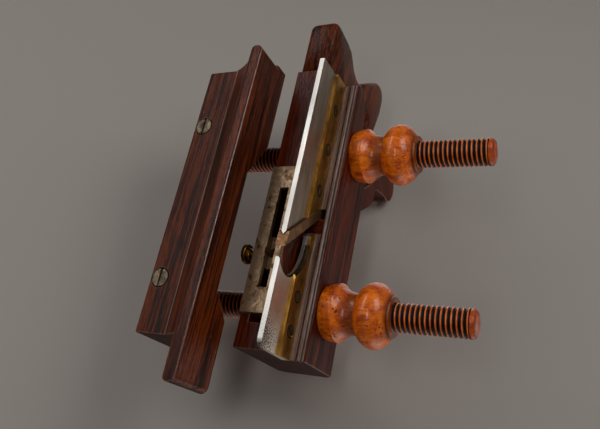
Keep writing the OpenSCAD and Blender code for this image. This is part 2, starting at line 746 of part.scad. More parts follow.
leg_left = fence_face_x + leg_thick;
relief_back = 17.6;         // depth of the relief behind the working face
relief_past_heel = 17.2;
relief_past_toe = 7;
relief_ramp_heel = 28.6;
relief_ramp_toe = 16;

// Section of the ledge, the hollow slope under it and the leg with its working face
module fence_section() {
    face = -fence_face_x;
    slope_top = [-block_right + 1.2, ledge_z - 1];
    slope_foot = [-leg_left, 2.5 - fence_drop];
    polygon(concat(
        arc(-fence_left + 2, ledge_z + 2, 2, 180, 270, 6),
        [[-block_right, ledge_z], [-block_right, ledge_z - 1], slope_top],
        [for (i = [1:9]) let (t = i / 10, sag = 10 * t * (1 - t))
            [slope_top[0] + (slope_foot[0] - slope_top[0]) * t + sag * 0.7,
             slope_top[1] + (slope_foot[1] - slope_top[1]) * t + sag * 0.7]],
        arc(-leg_left + 2.5, 2.5 - fence_drop, 2.5, 180, 270, 5),
        arc(face - 1.2, 1.2 - fence_drop, 1.2, 270, 360, 5),
        [[face, ear_top], [-block_right + 5, ear_top]],
        arc(-block_right + 5, ear_top + 5, 5, 270, 180, 6),
        [[-block_right, block_top - 1.5], [-block_right - 1.5, block_top],
         [-fence_left + 4, block_top], [-fence_left, block_top - 4]]));
}

// Leg alone, where it runs on past the ledge towards the toe
module leg_section() {
    face = -fence_face_x;
    polygon(concat(
        arc(-leg_left + 2.5, 2.5 - fence_drop, 2.5, 180, 270, 5),
        arc(face - 1.2, 1.2 - fence_drop, 1.2, 270, 360, 5),
        [[face, ear_top], [-leg_left, ear_top]]));
}

// Relief over the leg, which lets the fence pass under the depth stop
module relief_outline() {
    polygon([
        [shoe_heel_y - relief_past_heel, ear_top + over], [shoe_heel_y - relief_past_heel, ear_top],
        [shoe_heel_y - relief_past_heel + relief_ramp_heel, -relief_drop],
        [shoe_toe_y + relief_past_toe - relief_ramp_toe, -relief_drop],
        [shoe_toe_y + relief_past_toe, ear_top], [shoe_toe_y + relief_past_toe, ear_top + over]]);
}

module fence() {
    color("#5a2a1c") difference() {
        union() {
            along(fence_heel_y, ledge_toe_y) fence_section();
            along(ledge_toe_y - over, leg_toe_y) leg_section();
        }
        // Relief runs back under a slope, in step with the hollow below
        intersection() {
            side(-block_right, -fence_face_x + over) relief_outline();
            along(fence_heel_y, leg_toe_y) polygon([
                [-fence_face_x + over, -relief_drop - over], [-fence_face_x - relief_back, -relief_drop - over],
                [-fence_face_x - relief_back, -relief_drop],
                [-fence_face_x - relief_back - ear_top - relief_drop, ear_top],
                [-fence_face_x - relief_back - ear_top - relief_drop, ear_top + 2 * over],
                [-fence_face_x + over, ear_top + 2 * over]]);
        }
        leg_end_round(leg_toe_y, 1);
        leg_end_round(fence_heel_y, -1);
        for (y = [arm_rear_y, arm_front_y]) {
            rod_x(-fence_left - over, -block_right + over, y, arm_z, arm_d + 0.1);
            translate([-bolt_x, y, ledge_z - over]) {
                cylinder(d = bolt_head_d + 0.3, h = bolt_head_t + over, $fn = fine);
                cylinder(d = bolt_d + 2 * seat_gap, h = block_top, $fn = fine);
            }
        }
    }
}

// Rounds the leg's end in plan, as far up as the ledge's underside at the heel
module leg_end_round(y, dir) {
    r = 4.6;
    top = dir > 0 ? ear_top + over : ledge_z - 1;
    for (s = [0, 1]) {
        cx = s == 0 ? -fence_face_x - r : -leg_left + r;
        sx = s == 0 ? 1 : -1;
        translate([cx, y - dir * r, -fence_drop - over]) difference() {
            translate([s == 0 ? 0 : -r - over, dir > 0 ? 0 : -r - over, 0])
                cube([r + over, r + over, top + fence_drop + over]);
            translate([0, 0, -over]) cylinder(r = r, h = top + fence_drop + 4 * over, $fn = fine);
            if (dir < 0 && s == 1) translate([-r - 2 * over, -r - 2 * over, fence_drop - 16])
                cube([2 * r, 2 * r + 4 * over, 60]);
        }
    }
}

module fence_bolt(y) {
    color("#7d6f55") translate([-bolt_x, y, ledge_z]) difference() {
        union() {
            cylinder(d = bolt_head_d, h = bolt_head_t, $fn = fine);
            cylinder(d = bolt_d, h = bolt_tip_z - ledge_z, $fn = fine);
        }
        cube([1.6, bolt_head_d + over, 2.4], center = true);
    }
}

module fence_bolt_front() { fence_bolt(arm_front_y); }
module fence_bolt_rear() { fence_bolt(arm_rear_y); }

// Arms

arm_thread_x = 2 - block_right;
arm_turns = floor((arm_reach - arm_button_l - arm_thread_x) / arm_pitch);

// One turn of the thread, as a groove between two crests
function arm_groove(x) = [[arm_r, x], [arm_r - arm_thread_depth, x + arm_pitch * 0.4],
    [arm_r - arm_thread_depth, x + arm_pitch * 0.55], [arm_r, x + arm_pitch * 0.95]];

module arm(y) {
    dome_r = (arm_r * arm_r + arm_dome_h * arm_dome_h) / (2 * arm_dome_h);
    color("#b5551f") difference() {
        turned(0, y, 1) polygon(concat(
            [[0, -fence_left + 0.6], [arm_r, -fence_left + 0.6]],
            [for (i = [0:arm_turns - 1]) each arm_groove(arm_thread_x + i * arm_pitch)],
            [[arm_r, arm_reach - arm_dome_h]],
            arc(0, arm_reach - dome_r, dome_r, asin(1 - arm_dome_h / dome_r), 90, 8)));
        translate([-bolt_x, y, 0]) cylinder(d = bolt_d + 2 * seat_gap, h = bolt_tip_z + 0.2, $fn = fine);
    }
}

module arm_front() { arm(arm_front_y); }
module arm_rear() { arm(arm_rear_y); }

// Nuts, turned in boxwood: cushion, ridge, cove, ball and collar

bore_r = arm_r + thread_gap;
nut_end = nut_ball_x + nut_ball_half * sqrt(1 - pow(nut_collar_r / nut_ball_r, 2)) + nut_collar_l;

module nut_profile() {
    cove_x = nut_base_l + 1.1;
    ball_start = asin(nut_neck_r / nut_ball_r);
    polygon(concat(
        [[bore_r, 0], [nut_base_r, 0]],
        [for (i = [1:8]) let (t = i / 8)
            [nut_base_r + (nut_ridge_r - nut_base_r) * sin(90 * t), nut_base_l * t]],
        [[nut_ridge_r - 0.9, cove_x]],
        [for (i = [1:8]) let (t = i / 8, end = nut_ball_x - nut_ball_half * cos(ball_start))
            [nut_neck_r + (nut_ridge_r - 1.2 - nut_neck_r) * pow(1 - t, 3), cove_x + (end - cove_x) * t]],
        [for (i = [1:28]) let (a = ball_start + (180 - ball_start - asin(nut_collar_r / nut_ball_r)) * i / 28)
            [nut_ball_r * sin(a), nut_ball_x - nut_ball_half * cos(a)]],
        [[nut_collar_r, nut_end - 0.8], [nut_collar_r - 0.8, nut_end], [bore_r, nut_end]]));
}

module nut(y) {
    color("#c8711d") turned(stock_right, y, 1) nut_profile();
}

module nut_front() { nut(arm_front_y); }
module nut_rear() { nut(arm_rear_y); }

// Lock nuts, plain turned collars on the other side of the stock
module lock_nut(y) {
    color("#c8711d") turned(-stock_left, y, -1) polygon(concat(
        [[bore_r, 0], [lock_nut_r - 1, 0], [lock_nut_r, 1], [lock_nut_r, 3.2]],
        [for (i = [1:6]) let (t = i / 6) [lock_nut_r - 2.6 * sin(90 * t), 3.2 + 2.4 * t]],
        arc(lock_nut_r - 4.2, lock_nut_l - 2.6, 2.6, 0, 90, 6),
        [[bore_r, lock_nut_l]]));
}

module lock_nut_front() { lock_nut(arm_front_y); }
module lock_nut_rear() { lock_nut(arm_rear_y); }

stock();
tote();
skate_front();
skate_rear();
plate_front();
plate_rear();
plate_screws_front();
plate_screws_rear();
iron();
wedge();
depth_stop();
stop_screw();
stop_top_plate();
top_plate_screws();
lock_bush();
lock_screw();
fence();
arm_front();
arm_rear();
fence_bolt_front();
fence_bolt_rear();
nut_front();
nut_rear();
lock_nut_front();
lock_nut_rear();
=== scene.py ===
import json
from math import asin, cos, hypot, pi, radians, sin, sqrt
import bmesh
import bpy
from mathutils import Matrix, Vector

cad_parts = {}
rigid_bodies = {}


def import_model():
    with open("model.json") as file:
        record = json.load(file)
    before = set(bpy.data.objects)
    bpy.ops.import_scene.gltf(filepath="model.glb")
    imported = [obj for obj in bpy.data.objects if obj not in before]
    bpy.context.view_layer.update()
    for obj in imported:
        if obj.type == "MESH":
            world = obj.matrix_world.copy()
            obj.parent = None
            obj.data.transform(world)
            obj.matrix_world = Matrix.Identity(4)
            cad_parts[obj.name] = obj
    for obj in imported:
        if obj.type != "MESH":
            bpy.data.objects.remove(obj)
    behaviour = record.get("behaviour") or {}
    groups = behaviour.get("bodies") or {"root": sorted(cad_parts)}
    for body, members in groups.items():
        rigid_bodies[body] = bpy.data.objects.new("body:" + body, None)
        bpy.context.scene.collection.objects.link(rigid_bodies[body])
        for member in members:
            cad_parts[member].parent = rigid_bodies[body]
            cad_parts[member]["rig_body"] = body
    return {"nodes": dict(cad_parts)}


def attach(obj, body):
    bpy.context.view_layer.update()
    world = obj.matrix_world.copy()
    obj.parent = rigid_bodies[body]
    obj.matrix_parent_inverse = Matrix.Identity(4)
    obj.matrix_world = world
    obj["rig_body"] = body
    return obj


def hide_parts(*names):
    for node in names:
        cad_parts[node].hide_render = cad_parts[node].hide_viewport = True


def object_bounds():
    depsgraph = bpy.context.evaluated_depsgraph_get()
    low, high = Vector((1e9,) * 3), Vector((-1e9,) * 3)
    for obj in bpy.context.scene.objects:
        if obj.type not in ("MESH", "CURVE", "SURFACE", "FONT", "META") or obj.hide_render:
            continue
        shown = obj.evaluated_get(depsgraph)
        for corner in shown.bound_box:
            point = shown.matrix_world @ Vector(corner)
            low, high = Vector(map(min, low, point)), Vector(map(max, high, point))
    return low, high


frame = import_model()
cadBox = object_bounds()
scene = bpy.context.scene
mm = 0.001
print("frame loaded:", len(frame["nodes"]), "nodes")


# Camera: the plane lies upside down before it, so it looks up at the sole from the toe's side
view = {
    "eye": Vector((200.65, 170.0, -336.07)) * mm,
    "right": Vector((0.8873, -0.1976, 0.4167)),
    "up": Vector((-0.0071, -0.9093, -0.4162)),
    "back": Vector((0.4611, 0.3663, -0.8082)),
    "lens": 40.07,
    "sensor": 36,
}


def addCamera():
    data = bpy.data.cameras.new("camera")
    data.lens = view["lens"]
    data.sensor_width = view["sensor"]
    data.sensor_fit = "HORIZONTAL"
    data.clip_start = 0.01
    data.clip_end = 20
    camera = bpy.data.objects.new("camera", data)
    scene.collection.objects.link(camera)
    turn = Matrix((view["right"], view["up"], view["back"])).transposed()
    camera.matrix_world = Matrix.Translation(view["eye"]) @ turn.to_4x4()
    scene.camera = camera


addCamera()


# Colours are written as sRGB hex
def colour(hexValue):
    channels = [int(hexValue[i:i + 2], 16) / 255 for i in (1, 3, 5)]
    return tuple(c / 12.92 if c <= 0.04045 else ((c + 0.055) / 1.055) ** 2.4 for c in channels) + (1.0,)


# Adds a shader node: settings are its own properties, inputs are values or the sockets that feed it
def addNode(tree, kind, settings=None, inputs=None, stops=None):
    node = tree.nodes.new("ShaderNode" + kind)
    for key, value in (settings or {}).items():
        setattr(node, key, value)
    for key, value in (inputs or {}).items():
        if isinstance(value, bpy.types.NodeSocket):
            tree.links.new(value, node.inputs[key])
        else:
            node.inputs[key].default_value = value
    if stops:
        ramp = node.color_ramp
        while len(ramp.elements) < len(stops):
            ramp.elements.new(1.0)
        for element, (place, shade) in zip(ramp.elements, stops):
            element.position = place
            element.color = colour(shade) if isinstance(shade, str) else (shade, shade, shade, 1.0)
    return node


def newMaterial(name):
    material = bpy.data.materials.new(name)
    material.use_nodes = True
    tree = material.node_tree
    tree.nodes.clear()
    return material, tree


def closeMaterial(tree, shader):
    addNode(tree, "OutputMaterial", inputs={"Surface": shader.outputs["BSDF"]})


# Oiled rosewood, planed along the grain: dark red-brown with near-black ink lines, open pores and a few pale nicks.
# Its fibres and pores are drawn two or three times as wide as real ones, so that they show.
rosewood = {
    "dark": [(0.3, "#080201"), (0.42, "#240a03"), (0.53, "#451605"), (0.64, "#6e2407"), (0.78, "#320f04")],
    "warm": [(0.3, "#080201"), (0.42, "#260c04"), (0.53, "#471905"), (0.65, "#743009"), (0.78, "#301005")],
    # The rubbed figure is paler for wear on the edges and also as a painted highlight along them
    "rubbed": [(0.3, "#1e0b05"), (0.42, "#42190b"), (0.53, "#652c14"), (0.64, "#8a4824"), (0.78, "#4c200e")],
    # The greyed figure is a painted sheen: a pale lilac-grey reflection put into the wood's colour
    "paintedSheen": [(0.3, "#38251f"), (0.42, "#604840"), (0.53, "#7c655c"), (0.64, "#8f786f"), (0.78, "#624a42")],
    "bandWidth": 9.0,
    "streakWidth": 1.7,
    "fibreWidth": 0.55,
    "poreWidth": 0.32,
    "stretch": 0.03,
    "nick": 7.0,
    "dust": "#8a6f56",
    "soaked": "#0b0504",
}


def makeRosewood(name, figure="dark", grainTurn=(0, 0, 0), shift=(0, 0, 0), endDepth=0.6, sheen=0.16):
    material, tree = newMaterial(name)
    place = addNode(tree, "TexCoord")
    turned = addNode(tree, "Mapping", {}, {
        "Vector": place.outputs["Object"], "Rotation": tuple(radians(a) for a in grainTurn),
        "Location": tuple(c * mm for c in shift)})

    def alongGrain(width, stretch=rosewood["stretch"]):
        across = 1 / (width * mm)
        return addNode(tree, "Mapping", {}, {
            "Vector": turned.outputs["Vector"], "Scale": (across, across * stretch, across)}).outputs["Vector"]

    bands = addNode(tree, "TexNoise", {}, {
        "Vector": alongGrain(rosewood["bandWidth"], 0.07), "Scale": 1.0, "Detail": 3.0, "Roughness": 0.5,
        "Distortion": 0.5})
    streaks = addNode(tree, "TexNoise", {}, {
        "Vector": alongGrain(rosewood["streakWidth"]), "Scale": 1.0, "Detail": 4.0, "Roughness": 0.6,
        "Distortion": 0.2})
    fibres = addNode(tree, "TexNoise", {}, {
        "Vector": alongGrain(rosewood["fibreWidth"], 0.015), "Scale": 1.0, "Detail": 4.0, "Roughness": 0.65})
    pores = addNode(tree, "TexNoise", {}, {
        "Vector": alongGrain(rosewood["poreWidth"], 0.06), "Scale": 1.0, "Detail": 2.0, "Roughness": 0.5})
    broad = addNode(tree, "Mix", {"data_type": "FLOAT"}, {
        "Factor": 0.6, "A": bands.outputs["Fac"], "B": streaks.outputs["Fac"]})
    mixed = addNode(tree, "Mix", {"data_type": "FLOAT"}, {
        "Factor": 0.38, "A": broad.outputs["Result"], "B": fibres.outputs["Fac"]})
    spread = addNode(tree, "MapRange", {}, {
        "Value": mixed.outputs["Result"], "From Min": 0.38, "From Max": 0.61, "To Min": 0.28, "To Max": 0.76})
    wood = addNode(tree, "ValToRGB", inputs={"Fac": spread.outputs["Result"]}, stops=rosewood[figure])
    poreMask = addNode(tree, "ValToRGB", inputs={"Fac": pores.outputs["Fac"]}, stops=[(0.36, 0.25), (0.45, 1.0)])
    inked = addNode(tree, "Mix", {"data_type": "RGBA", "blend_type": "MULTIPLY"}, {
        "Factor": 0.8, "A": wood.outputs["Color"], "B": poreMask.outputs["Color"]})
    # Nicks are small, far apart and pale with dust
    nickPlace = addNode(tree, "Mapping", {}, {
        "Vector": turned.outputs["Vector"], "Scale": tuple(s / (rosewood["nick"] * mm) for s in (1, 0.45, 1))})
    nicks = addNode(tree, "TexVoronoi", {"feature": "F1"}, {
        "Vector": nickPlace.outputs["Vector"], "Scale": 1.0, "Randomness": 1.0})
    chosen = addNode(tree, "SeparateColor", {}, {"Color": nicks.outputs["Color"]})
    rare = addNode(tree, "Math", {"operation": "GREATER_THAN"}, {0: chosen.outputs["Red"], 1: 0.72})
    near = addNode(tree, "Math", {"operation": "LESS_THAN"}, {0: nicks.outputs["Distance"], 1: 0.055})
    nickMask = addNode(tree, "Math", {"operation": "MULTIPLY"}, {0: rare.outputs["Value"], 1: near.outputs["Value"]})
    soft = addNode(tree, "Math", {"operation": "MULTIPLY"}, {0: nickMask.outputs["Value"], 1: 0.55})
    worn = addNode(tree, "Mix", {"data_type": "RGBA"}, {
        "Factor": soft.outputs["Value"], "A": inked.outputs["Result"], "B": colour(rosewood["dust"])})
    # End grain soaks up more oil, so it is darker and dull
    side = addNode(tree, "SeparateXYZ", {}, {"Vector": place.outputs["Normal"]})
    facing = addNode(tree, "Math", {"operation": "ABSOLUTE"}, {0: side.outputs["Y"]})
    end = addNode(tree, "MapRange", {}, {
        "Value": facing.outputs["Value"], "From Min": 0.8, "From Max": 0.95, "To Min": 0.0, "To Max": endDepth})
    soaked = addNode(tree, "Mix", {"data_type": "RGBA"}, {
        "Factor": end.outputs["Result"], "A": worn.outputs["Result"], "B": colour(rosewood["soaked"])})
    bump = addNode(tree, "Bump", {}, {"Strength": 0.35, "Distance": 0.0002, "Height": poreMask.outputs["Color"]})
    gloss = addNode(tree, "MapRange", {}, {
        "Value": streaks.outputs["Fac"], "From Min": 0.3, "From Max": 0.7, "To Min": 0.27, "To Max": 0.42})
    dull = addNode(tree, "Math", {"operation": "MULTIPLY_ADD"}, {
        0: end.outputs["Result"], 1: 0.4, 2: gloss.outputs["Result"]})
    shader = addNode(tree, "BsdfPrincipled", {}, {
        "Base Color": soaked.outputs["Result"], "Roughness": dull.outputs["Value"], "Normal": bump.outputs["Normal"],
        "IOR": 1.45, "Specular IOR Level": sheen})
    closeMaterial(tree, shader)
    return material


# Boxwood, turned and polished: deep amber with close grain, with painted shade in the hollows, specked and a little
# dented
boxwood = {
    "grain": [(0.28, "#742800"), (0.42, "#a84200"), (0.56, "#d66200"), (0.68, "#ea7c06"), (0.82, "#b04a00")],
    "cloud": 15.0,
    "grainWidth": 1.2,
    "speck": 2.6,
    "patch": 9.0,
    "hollow": 14.4,
    "hollowShade": "#4a1a02",
}


def makeBoxwood(name, y):
    material, tree = newMaterial(name)
    place = addNode(tree, "TexCoord")
    centred = addNode(tree, "Mapping", {}, {
        "Vector": place.outputs["Object"], "Location": (0, -y * mm, -arms["z"] * mm)})
    clouds = addNode(tree, "TexNoise", {}, {
        "Vector": place.outputs["Object"], "Scale": 1 / (boxwood["cloud"] * mm), "Detail": 3.0, "Roughness": 0.6,
        "Distortion": 1.6})
    across = 1 / (boxwood["grainWidth"] * mm)
    grainPlace = addNode(tree, "Mapping", {}, {
        "Vector": place.outputs["Object"], "Scale": (across * 0.1, across, across)})
    grain = addNode(tree, "TexNoise", {}, {
        "Vector": grainPlace.outputs["Vector"], "Scale": 1.0, "Detail": 5.0, "Roughness": 0.65, "Distortion": 0.3})
    mixed = addNode(tree, "Mix", {"data_type": "FLOAT"}, {
        "Factor": 0.45, "A": clouds.outputs["Fac"], "B": grain.outputs["Fac"]})
    spread = addNode(tree, "MapRange", {}, {
        "Value": mixed.outputs["Result"], "From Min": 0.34, "From Max": 0.68, "To Min": 0.3, "To Max": 0.78})
    wood = addNode(tree, "ValToRGB", inputs={"Fac": spread.outputs["Result"]}, stops=boxwood["grain"])
    # Painted shade: the colour darkens where the turning is deepest
    spoke = addNode(tree, "Mapping", {}, {"Vector": centred.outputs["Vector"], "Scale": (0, 1, 1)})
    radius = addNode(tree, "VectorMath", {"operation": "LENGTH"}, {0: spoke.outputs["Vector"]})
    deep = addNode(tree, "MapRange", {"interpolation_type": "SMOOTHSTEP"}, {
        "Value": radius.outputs["Value"], "From Min": (boxwood["hollow"] - 1.6) * mm,
        "From Max": (boxwood["hollow"] + 2.2) * mm, "To Min": 0.75, "To Max": 0.0})
    shaded = addNode(tree, "Mix", {"data_type": "RGBA"}, {
        "Factor": deep.outputs["Result"], "A": wood.outputs["Color"], "B": colour(boxwood["hollowShade"])})
    specks = addNode(tree, "TexVoronoi", {"feature": "F1"}, {
        "Vector": place.outputs["Object"], "Scale": 1 / (boxwood["speck"] * mm), "Randomness": 1.0})
    patches = addNode(tree, "TexNoise", {}, {
        "Vector": place.outputs["Object"], "Scale": 1 / (boxwood["patch"] * mm), "Detail": 2.0})
    reach = addNode(tree, "MapRange", {}, {
        "Value": patches.outputs["Fac"], "From Min": 0.47, "From Max": 0.66, "To Min": 0.0, "To Max": 0.3})
    spot = addNode(tree, "Math", {"operation": "SUBTRACT"}, {
        0: specks.outputs["Distance"], 1: reach.outputs["Result"]})
    spotMask = addNode(tree, "ValToRGB", inputs={"Fac": spot.outputs["Value"]}, stops=[(0.0, 0.1), (0.09, 1.0)])
    dirty = addNode(tree, "Mix", {"data_type": "RGBA", "blend_type": "MULTIPLY"}, {
        "Factor": 0.85, "A": shaded.outputs["Result"], "B": spotMask.outputs["Color"]})
    bump = addNode(tree, "Bump", {}, {"Strength": 0.5, "Distance": 0.0003, "Height": spotMask.outputs["Color"]})
    shader = addNode(tree, "BsdfPrincipled", {}, {
        "Base Color": dirty.outputs["Result"], "Roughness": 0.42, "Normal": bump.outputs["Normal"],
        "IOR": 1.45, "Specular IOR Level": 0.3, "Coat Weight": 0.4, "Coat Roughness": 0.1})
    closeMaterial(tree, shader)
    return material


# Threaded boxwood: orange where the crests and the end button are rubbed, with painted shade that turns the thread
# black towards the roots
arms = {
    "rearY": -52.7,
    "frontY": 63.8,
    "z": 53.6,
    "crest": 9.45,
    "root": 7.95,
    "pitch": 3.175,
    "leftEnd": -93.7,
    "rightEnd": 113.3,
    "button": 4.6,
    "buttonRadius": 9.2,
    "buttonRound": 2.4,
    "dome": 0.9,
    "stepsPerTurn": 48,
    "shades": [(0.4, "#070201"), (0.62, "#1c0702"), (0.79, "#883206"), (0.92, "#cc5a16"), (1.0, "#de8038")],
    "wear": 4.0,
}
armPlaces = {"rear": arms["rearY"], "front": arms["frontY"]}


def makeThreadWood(name, y):
    material, tree = newMaterial(name)
    place = addNode(tree, "TexCoord")
    centred = addNode(tree, "Mapping", {}, {
        "Vector": place.outputs["Object"], "Location": (0, -y * mm, -arms["z"] * mm)})
    spoke = addNode(tree, "Mapping", {}, {"Vector": centred.outputs["Vector"], "Scale": (0, 1, 1)})
    radius = addNode(tree, "VectorMath", {"operation": "LENGTH"}, {0: spoke.outputs["Vector"]})
    wear = addNode(tree, "TexNoise", {}, {
        "Vector": centred.outputs["Vector"], "Scale": 1 / (arms["wear"] * mm), "Detail": 4.0, "Roughness": 0.6})
    # Painted shade: black in the thread's roots, rising to orange on the crests
    height = addNode(tree, "MapRange", {}, {
        "Value": radius.outputs["Value"], "From Min": arms["root"] * mm, "From Max": arms["crest"] * mm,
        "To Min": 0.0, "To Max": 1.0})
    along = addNode(tree, "SeparateXYZ", {}, {"Vector": centred.outputs["Vector"]})
    shoulder = arms["rightEnd"] - arms["button"]
    button = addNode(tree, "MapRange", {}, {
        "Value": along.outputs["X"], "From Min": (shoulder - 0.1) * mm, "From Max": (shoulder + 0.7) * mm,
        "To Min": 0.0, "To Max": 0.84})
    rubbedOrUnshaded = addNode(tree, "Math", {"operation": "MAXIMUM"}, {
        0: height.outputs["Result"], 1: button.outputs["Result"]})
    worn = addNode(tree, "Math", {"operation": "MULTIPLY_ADD"}, {
        0: wear.outputs["Fac"], 1: 0.4, 2: rubbedOrUnshaded.outputs["Value"]})
    lowered = addNode(tree, "Math", {"operation": "SUBTRACT"}, {0: worn.outputs["Value"], 1: 0.22})
    wood = addNode(tree, "ValToRGB", inputs={"Fac": lowered.outputs["Value"]}, stops=arms["shades"])
    rubbed = addNode(tree, "MapRange", {}, {"Value": rubbedOrUnshaded.outputs["Value"], "To Min": 0.7, "To Max": 0.34})
    shader = addNode(tree, "BsdfPrincipled", {}, {
        "Base Color": wood.outputs["Color"], "Roughness": rubbed.outputs["Result"], "IOR": 1.5,
        "Specular IOR Level": 0.3})
    closeMaterial(tree, shader)
    return material


# Ground steel of the skate: satin lines along its length, clouded with tarnish, pitted at the toe's lower corner.
# The lines and stains are numbers per metre: the lines are 0.4 mm apart, coarser than real grit, so that they show.
skateSteel = {
    # The front half is given far paler shades than the rear, as painted light on the same steel
    "front": [(0.34, "#b3a594"), (0.5, "#d8ccbd"), (0.68, "#ece4d9")],
    "rear": [(0.34, "#6e6053"), (0.5, "#9a8b7b"), (0.68, "#b5a99b")],
    "sole": "#dcd9d4",
    "lines": (2600, 45, 2600),
    "stains": (60, 22, 110),
    "pit": 0.9,
    "pitted": (0, 96, 0),
    "pitNear": 4,
    "pitReach": 24,
}


def makeSkateSteel(name, half):
    material, tree = newMaterial(name)
    place = addNode(tree, "TexCoord")
    stretched = addNode(tree, "Mapping", {}, {
        "Vector": place.outputs["Object"], "Scale": skateSteel["lines"]})
    lines = addNode(tree, "TexNoise", {}, {"Vector": stretched.outputs["Vector"], "Scale": 1.0, "Detail": 3.0})
    smear = addNode(tree, "Mapping", {}, {
        "Vector": place.outputs["Object"], "Scale": skateSteel["stains"]})
    stains = addNode(tree, "TexNoise", {}, {
        "Vector": smear.outputs["Vector"], "Scale": 1.0, "Detail": 5.0, "Roughness": 0.6, "Distortion": 0.4})
    streaked = addNode(tree, "Mix", {"data_type": "FLOAT"}, {
        "Factor": 0.45, "A": stains.outputs["Fac"], "B": lines.outputs["Fac"]})
    stain = addNode(tree, "ValToRGB", inputs={"Fac": streaked.outputs["Result"]}, stops=skateSteel[half])
    pits = addNode(tree, "TexNoise", {}, {
        "Vector": place.outputs["Object"], "Scale": 1 / (skateSteel["pit"] * mm), "Detail": 2.0, "Roughness": 0.6})
    away = addNode(tree, "VectorMath", {"operation": "DISTANCE"}, {
        0: place.outputs["Object"], 1: tuple(c * mm for c in skateSteel["pitted"])})
    depth = addNode(tree, "MapRange", {}, {
        "Value": away.outputs["Value"], "From Min": skateSteel["pitNear"] * mm,
        "From Max": skateSteel["pitReach"] * mm, "To Min": 0.19, "To Max": -0.06})
    pitted = addNode(tree, "Math", {"operation": "SUBTRACT"}, {0: pits.outputs["Fac"], 1: depth.outputs["Result"]})
    pit = addNode(tree, "ValToRGB", inputs={"Fac": pitted.outputs["Value"]}, stops=[(0.33, 0.06), (0.39, 1.0)])
    mixed = addNode(tree, "Mix", {"data_type": "RGBA", "blend_type": "MULTIPLY"}, {
        "Factor": 0.95, "A": stain.outputs["Color"], "B": pit.outputs["Color"]})
    # The sole is rubbed bare by the work
    side = addNode(tree, "SeparateXYZ", {}, {"Vector": place.outputs["Normal"]})
    sole = addNode(tree, "MapRange", {}, {
        "Value": side.outputs["Z"], "From Min": -0.95, "From Max": -0.75, "To Min": 0.85, "To Max": 0.0})
    rubbed = addNode(tree, "Mix", {"data_type": "RGBA"}, {
        "Factor": sole.outputs["Result"], "A": mixed.outputs["Result"], "B": colour(skateSteel["sole"])})
    rough = addNode(tree, "MapRange", {}, {
        "Value": stains.outputs["Fac"], "From Min": 0.35, "From Max": 0.65, "To Min": 0.54, "To Max": 0.4})
    bump = addNode(tree, "Bump", {}, {"Strength": 0.2, "Distance": 0.00005, "Height": lines.outputs["Fac"]})
    shader = addNode(tree, "BsdfPrincipled", {}, {
        "Base Color": rubbed.outputs["Result"], "Metallic": 1.0, "Roughness": rough.outputs["Result"],
        "Normal": bump.outputs["Normal"]})
    closeMaterial(tree, shader)
    return material


# Forged and cast metal with an old skin: mottled shades, finer specks, and rust or copper showing through in spots.
# Screw heads have a rim of old dirt, which lies between two distances inside the head's edge.
dirtRim = {"shade": "#120d07", "inner": 1.1, "outer": 0.45}
speckWidth = 0.8


def makeMottledMetal(name, stops, grain, spot=None, fill=0.66, heads=None):
    material, tree = newMaterial(name)
    place = addNode(tree, "TexCoord")
    clouds = addNode(tree, "TexNoise", {}, {
        "Vector": place.outputs["Object"], "Scale": 1 / (grain * mm), "Detail": 8.0, "Roughness": 0.7,
        "Distortion": 0.7})
    fine = addNode(tree, "TexNoise", {}, {
        "Vector": place.outputs["Object"], "Scale": 1 / (speckWidth * mm), "Detail": 3.0, "Roughness": 0.6})
    mixed = addNode(tree, "Mix", {"data_type": "FLOAT"}, {
        "Factor": 0.25, "A": clouds.outputs["Fac"], "B": fine.outputs["Fac"]})
    base = addNode(tree, "ValToRGB", inputs={"Fac": mixed.outputs["Result"]}, stops=stops)
    skin = base.outputs["Color"]
    if spot:
        blots = addNode(tree, "TexNoise", {}, {
            "Vector": place.outputs["Object"], "Scale": 1 / (grain * 1.1 * mm), "Detail": 5.0, "Roughness": 0.65})
        mask = addNode(tree, "MapRange", {}, {
            "Value": blots.outputs["Fac"], "From Min": fill - 0.06, "From Max": fill, "To Min": 0.0,
            "To Max": 0.8})
        spotted = addNode(tree, "Mix", {"data_type": "RGBA"}, {
            "Factor": mask.outputs["Result"], "A": skin, "B": colour(spot)})
        skin = spotted.outputs["Result"]
    if heads:
        reach = None
        for head in heads["places"]:
            away = addNode(tree, "VectorMath", {"operation": "DISTANCE"}, {
                0: place.outputs["Object"], 1: tuple(c * mm for c in head)}).outputs["Value"]
            reach = away if reach is None else addNode(tree, "Math", {"operation": "MINIMUM"}, {
                0: reach, 1: away}).outputs["Value"]
        rim = addNode(tree, "MapRange", {}, {
            "Value": reach, "From Min": (heads["radius"] - dirtRim["inner"]) * mm,
            "From Max": (heads["radius"] - dirtRim["outer"]) * mm, "To Min": 0.0, "To Max": 0.95})
        rimmed = addNode(tree, "Mix", {"data_type": "RGBA"}, {
            "Factor": rim.outputs["Result"], "A": skin, "B": colour(dirtRim["shade"])})
        skin = rimmed.outputs["Result"]
    rough = addNode(tree, "MapRange", {}, {
        "Value": mixed.outputs["Result"], "From Min": 0.38, "From Max": 0.62, "To Min": 0.62, "To Max": 0.42})
    metal = addNode(tree, "MapRange", {}, {
        "Value": mixed.outputs["Result"], "From Min": 0.36, "From Max": 0.52, "To Min": 0.55, "To Max": 1.0})
    bump = addNode(tree, "Bump", {}, {"Strength": 0.35, "Distance": 0.0001, "Height": mixed.outputs["Result"]})
    shader = addNode(tree, "BsdfPrincipled", {}, {
        "Base Color": skin, "Metallic": metal.outputs["Result"], "Roughness": rough.outputs["Result"],
        "Normal": bump.outputs["Normal"]})
    closeMaterial(tree, shader)
    return material


# Rolled and turned brass, tarnished to a brown gold with olive clouds, drawn along the plate.
# The clouds are numbers per metre, and the scuffs a width.
brass = {"clouds": (160, 60, 200), "scuff": 0.7}


